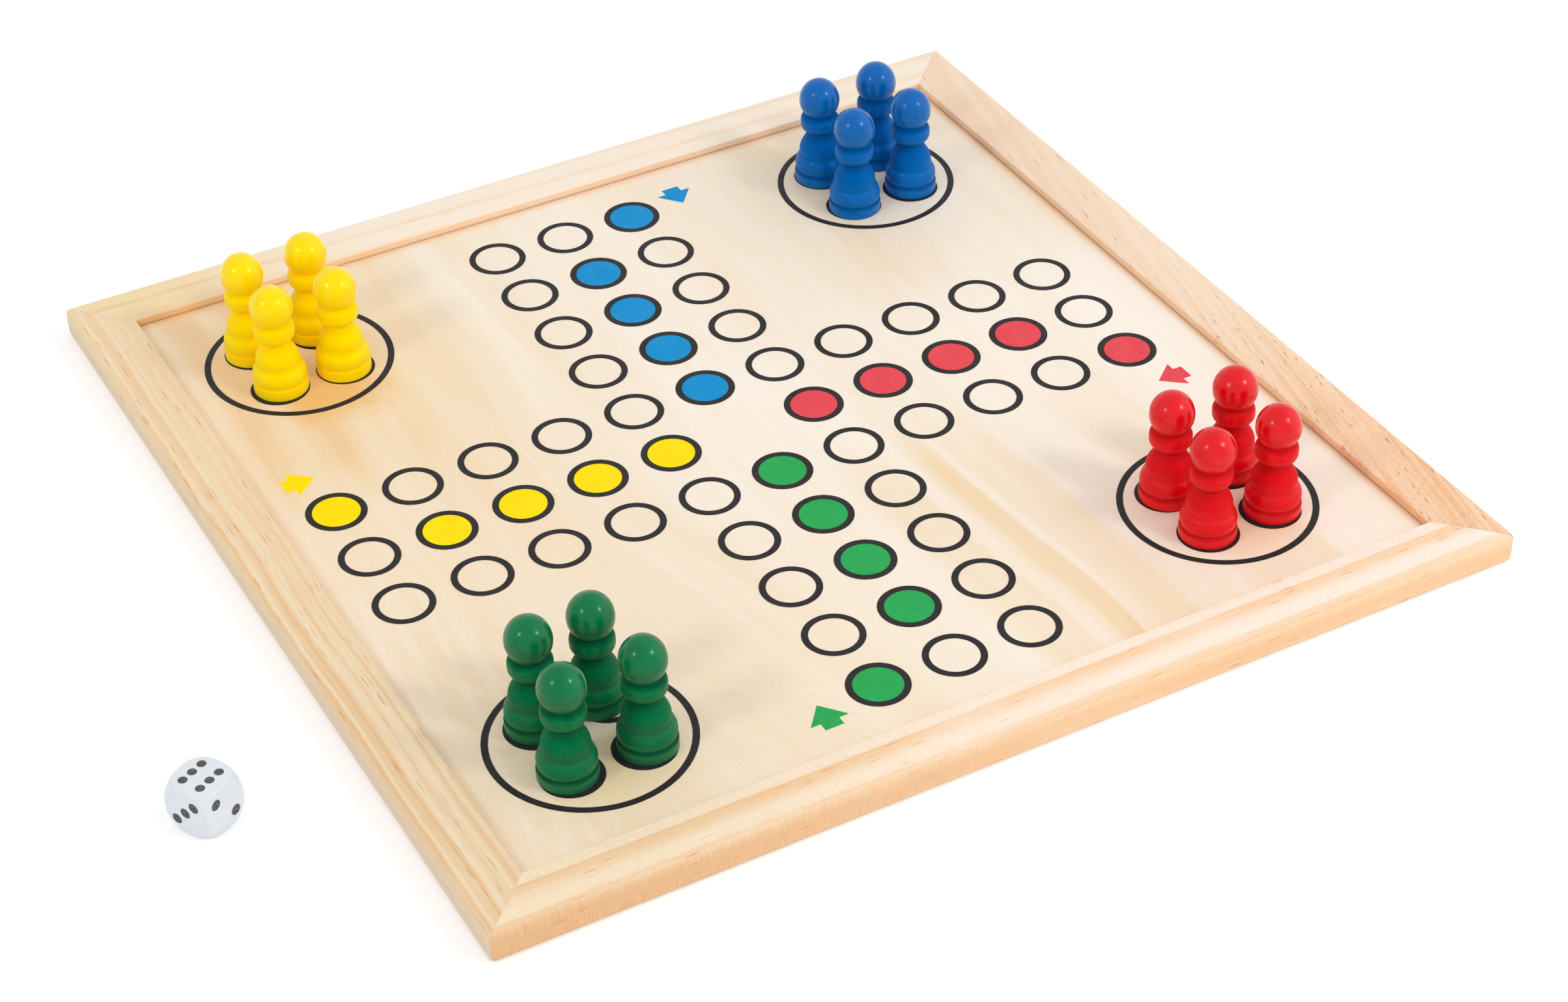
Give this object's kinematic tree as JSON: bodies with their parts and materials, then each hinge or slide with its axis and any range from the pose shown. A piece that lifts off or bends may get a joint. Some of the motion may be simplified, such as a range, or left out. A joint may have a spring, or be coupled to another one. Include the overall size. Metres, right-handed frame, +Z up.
{
  "type": "framed wooden board game set",
  "caption": "Flat framed wooden board printed for a traditional cross-and-circle race game, with turned pawns standing in its home corners and a spotted die beside it.",
  "frame": {"origin": "centre of the board, in the plane that its rails stand on", "axes": "+X along the front rail to the right, +Y from the front rail to the back rail, +Z up out of the playing face"},
  "size_m": [0.3489, 0.3, 0.0407],
  "materials": {
    "pine_moulding": "bare planed pine, sanded, fine streaked grain",
    "plywood": "pale smooth-sanded veneer, clear matt sealer",
    "ink_black": "matt screen ink",
    "ink_green": "matt screen ink",
    "ink_red": "matt screen ink",
    "ink_blue": "matt screen ink",
    "ink_yellow": "matt screen ink",
    "lacquer_green": "glossy coloured lacquer on turned wood",
    "lacquer_red": "glossy coloured lacquer on turned wood",
    "lacquer_blue": "glossy coloured lacquer on turned wood",
    "lacquer_yellow": "glossy coloured lacquer on turned wood",
    "die_white": "smooth white plastic, soft gloss",
    "spot_paint": "dark grey paint in the hollows"
  },
  "bodies": {
    "board": {"rail_front": "pine_moulding", "rail_right": "pine_moulding", "rail_back": "pine_moulding", "rail_left": "pine_moulding", "panel": "plywood", "print_black": "ink_black", "print_green": "ink_green", "print_red": "ink_red", "print_blue": "ink_blue", "print_yellow": "ink_yellow"},
    "pawn_green_1": {"pawn_green_1": "lacquer_green"},
    "pawn_green_2": {"pawn_green_2": "lacquer_green"},
    "pawn_green_3": {"pawn_green_3": "lacquer_green"},
    "pawn_green_4": {"pawn_green_4": "lacquer_green"},
    "pawn_red_1": {"pawn_red_1": "lacquer_red"},
    "pawn_red_2": {"pawn_red_2": "lacquer_red"},
    "pawn_red_3": {"pawn_red_3": "lacquer_red"},
    "pawn_red_4": {"pawn_red_4": "lacquer_red"},
    "pawn_blue_1": {"pawn_blue_1": "lacquer_blue"},
    "pawn_blue_2": {"pawn_blue_2": "lacquer_blue"},
    "pawn_blue_3": {"pawn_blue_3": "lacquer_blue"},
    "pawn_blue_4": {"pawn_blue_4": "lacquer_blue"},
    "pawn_yellow_1": {"pawn_yellow_1": "lacquer_yellow"},
    "pawn_yellow_2": {"pawn_yellow_2": "lacquer_yellow"},
    "pawn_yellow_3": {"pawn_yellow_3": "lacquer_yellow"},
    "pawn_yellow_4": {"pawn_yellow_4": "lacquer_yellow"},
    "die": {"die": "die_white", "die_spots": "spot_paint"}
  },
  "joints": [
    {"name": "lift_pawn_green_1", "type": "slide", "parent": "board", "child": "pawn_green_1", "axis": [0, 0, 1], "range_m": [0, 0.04]},
    {"name": "lift_pawn_green_2", "type": "slide", "parent": "board", "child": "pawn_green_2", "axis": [0, 0, 1], "range_m": [0, 0.04]},
    {"name": "lift_pawn_green_3", "type": "slide", "parent": "board", "child": "pawn_green_3", "axis": [0, 0, 1], "range_m": [0, 0.04]},
    {"name": "lift_pawn_green_4", "type": "slide", "parent": "board", "child": "pawn_green_4", "axis": [0, 0, 1], "range_m": [0, 0.04]},
    {"name": "lift_pawn_red_1", "type": "slide", "parent": "board", "child": "pawn_red_1", "axis": [0, 0, 1], "range_m": [0, 0.04]},
    {"name": "lift_pawn_red_2", "type": "slide", "parent": "board", "child": "pawn_red_2", "axis": [0, 0, 1], "range_m": [0, 0.04]},
    {"name": "lift_pawn_red_3", "type": "slide", "parent": "board", "child": "pawn_red_3", "axis": [0, 0, 1], "range_m": [0, 0.04]},
    {"name": "lift_pawn_red_4", "type": "slide", "parent": "board", "child": "pawn_red_4", "axis": [0, 0, 1], "range_m": [0, 0.04]},
    {"name": "lift_pawn_blue_1", "type": "slide", "parent": "board", "child": "pawn_blue_1", "axis": [0, 0, 1], "range_m": [0, 0.04]},
    {"name": "lift_pawn_blue_2", "type": "slide", "parent": "board", "child": "pawn_blue_2", "axis": [0, 0, 1], "range_m": [0, 0.04]},
    {"name": "lift_pawn_blue_3", "type": "slide", "parent": "board", "child": "pawn_blue_3", "axis": [0, 0, 1], "range_m": [0, 0.04]},
    {"name": "lift_pawn_blue_4", "type": "slide", "parent": "board", "child": "pawn_blue_4", "axis": [0, 0, 1], "range_m": [0, 0.04]},
    {"name": "lift_pawn_yellow_1", "type": "slide", "parent": "board", "child": "pawn_yellow_1", "axis": [0, 0, 1], "range_m": [0, 0.04]},
    {"name": "lift_pawn_yellow_2", "type": "slide", "parent": "board", "child": "pawn_yellow_2", "axis": [0, 0, 1], "range_m": [0, 0.04]},
    {"name": "lift_pawn_yellow_3", "type": "slide", "parent": "board", "child": "pawn_yellow_3", "axis": [0, 0, 1], "range_m": [0, 0.04]},
    {"name": "lift_pawn_yellow_4", "type": "slide", "parent": "board", "child": "pawn_yellow_4", "axis": [0, 0, 1], "range_m": [0, 0.04]},
    {"name": "lift_die", "type": "slide", "parent": "board", "child": "die", "axis": [0, 0, 1], "range_m": [0, 0.04]}
  ]
}
